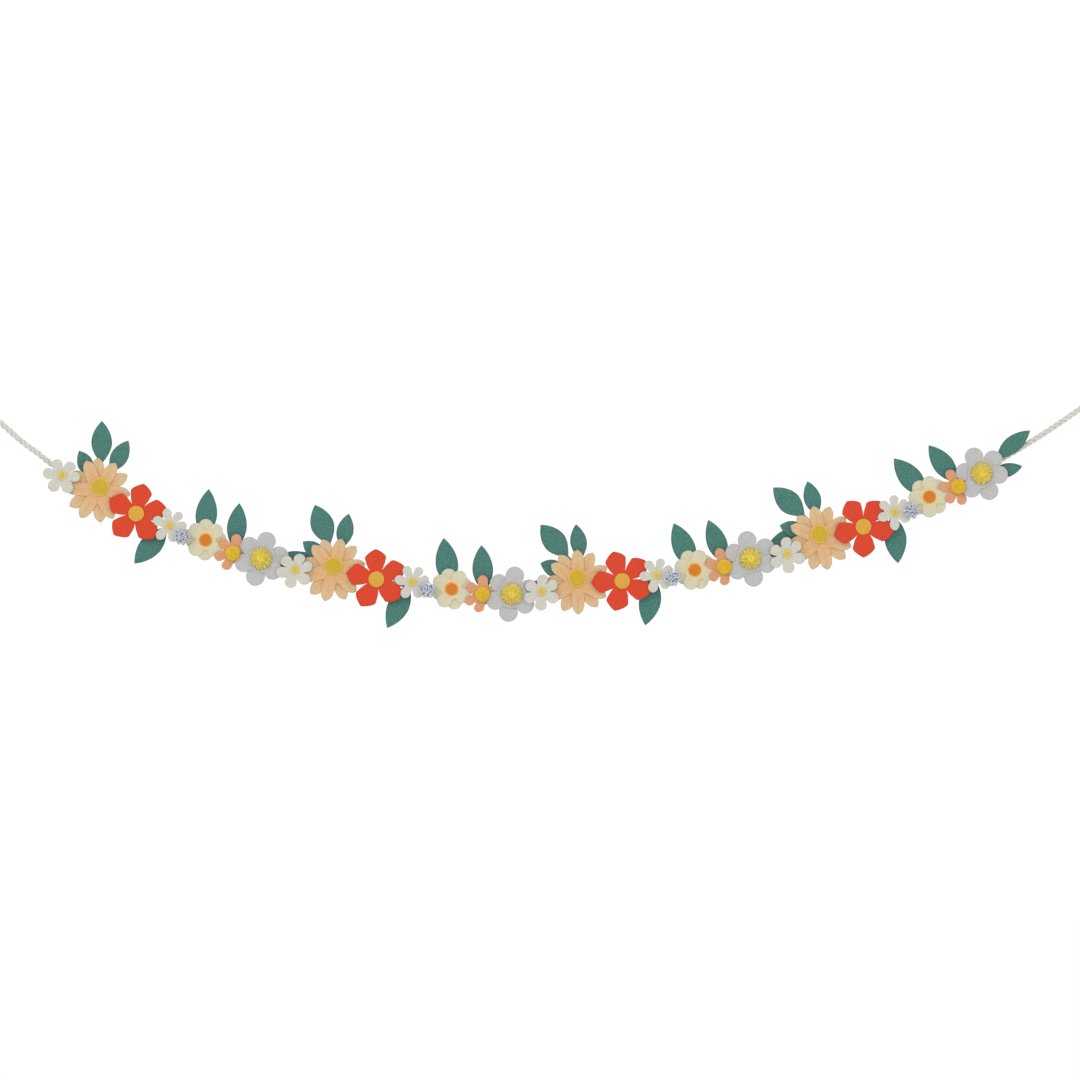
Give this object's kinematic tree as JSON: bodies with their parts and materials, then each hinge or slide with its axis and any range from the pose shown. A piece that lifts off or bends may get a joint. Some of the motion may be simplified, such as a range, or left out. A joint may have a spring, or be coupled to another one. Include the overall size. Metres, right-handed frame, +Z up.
{
  "type": "felt flower garland",
  "caption": "Garland of die-cut felt blooms, yarn centres and green felt leaves fixed along a twisted cotton cord that ends in a tied hanging loop at each side.",
  "frame": {"origin": "middle of the left hanging loop, in the plane of the cord's centre line", "axes": "+X runs right along the garland towards the right hanging loop; +Z points up, against gravity; the blooms face -Y and the cord runs behind them"},
  "size_m": [1.1725, 0.028, 0.2552],
  "materials": {
    "cord": "three-strand twisted off-white cotton cord",
    "white_felt": "white craft felt, small yellow stitched dot",
    "peach_felt": "peach craft felt in stacked layers, yellow felt middle",
    "red_felt": "bright orange-red craft felt, ochre felt disc",
    "cream_felt": "pale cream craft felt, orange felt disc",
    "coral_felt": "coral pink craft felt",
    "grey_felt": "pale blue-grey craft felt",
    "green_felt": "deep sea-green craft felt",
    "lilac_yarn": "pale lilac-grey looped yarn",
    "yellow_thread": "golden yellow wound thread dome",
    "yellow_yarn": "bright yellow fringed yarn pompom"
  },
  "bodies": {
    "root": {"cord": "cord", "left_loop": "cord", "right_loop": "cord", "white_daisy_1": "white_felt", "white_daisy_2": "white_felt", "white_daisy_3": "white_felt", "white_daisy_4": "white_felt", "peach_daisy_1": "peach_felt", "peach_daisy_2": "peach_felt", "peach_daisy_3": "peach_felt", "peach_daisy_4": "peach_felt", "red_bloom_1": "red_felt", "red_bloom_2": "red_felt", "red_bloom_3": "red_felt", "red_bloom_4": "red_felt", "small_daisy_1": "white_felt", "small_daisy_2": "white_felt", "small_daisy_3": "white_felt", "small_daisy_4": "white_felt", "cream_bloom_1": "cream_felt", "cream_bloom_2": "cream_felt", "cream_bloom_3": "cream_felt", "cream_bloom_4": "cream_felt", "coral_bloom_1": "coral_felt", "coral_bloom_2": "coral_felt", "coral_bloom_3": "coral_felt", "coral_bloom_4": "coral_felt", "grey_bloom_1": "grey_felt", "grey_bloom_2": "grey_felt", "grey_bloom_3": "grey_felt", "grey_bloom_4": "grey_felt", "lilac_tuft_1": "lilac_yarn", "lilac_tuft_2": "lilac_yarn", "lilac_tuft_3": "lilac_yarn", "lilac_tuft_4": "lilac_yarn", "coral_button_1": "yellow_thread", "coral_button_2": "yellow_thread", "coral_button_3": "yellow_thread", "coral_button_4": "yellow_thread", "grey_pompom_1": "yellow_yarn", "grey_pompom_2": "yellow_yarn", "grey_pompom_3": "yellow_yarn", "grey_pompom_4": "yellow_yarn", "red_leaf_1": "green_felt", "red_leaf_2": "green_felt", "red_leaf_3": "green_felt", "red_leaf_4": "green_felt", "cream_leaf_1": "green_felt", "cream_leaf_2": "green_felt", "cream_leaf_3": "green_felt", "cream_leaf_4": "green_felt", "coral_leaf_1": "green_felt", "coral_leaf_2": "green_felt", "coral_leaf_3": "green_felt", "coral_leaf_4": "green_felt", "daisy_sprig_1": "green_felt", "daisy_sprig_2": "green_felt", "daisy_sprig_3": "green_felt", "daisy_sprig_4": "green_felt", "end_sprig": "green_felt"}
  },
  "joints": []
}
